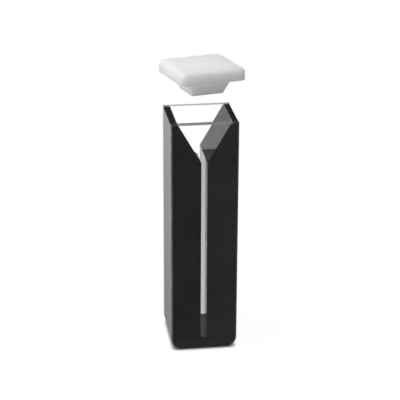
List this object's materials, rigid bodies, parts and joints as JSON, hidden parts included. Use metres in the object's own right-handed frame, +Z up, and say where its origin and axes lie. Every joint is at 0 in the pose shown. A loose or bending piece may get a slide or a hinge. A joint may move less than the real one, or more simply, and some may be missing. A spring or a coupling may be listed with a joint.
{
  "type": "cuvette",
  "caption": "Square narrow-slot cuvette with clear front and rear windows, black side walls, a funnel mouth over a thin chamber, and a white square stopper lifted off.",
  "frame": {"origin": "middle of the foot, on the surface the cell stands on", "axes": "+X across the windows to the right, +Y along the light path to the rear window, +Z up"},
  "size_m": [0.0147, 0.0148, 0.0548],
  "materials": {
    "clear_quartz": "polished clear fused quartz",
    "black_quartz": "opaque black quartz, polished faces and finely ground top",
    "white_ptfe": "white PTFE, matt with soft edges"
  },
  "bodies": {
    "root": {"front_window": "clear_quartz", "rear_window": "clear_quartz", "left_wall": "black_quartz", "right_wall": "black_quartz", "base": "black_quartz", "lid": "white_ptfe"}
  },
  "joints": []
}
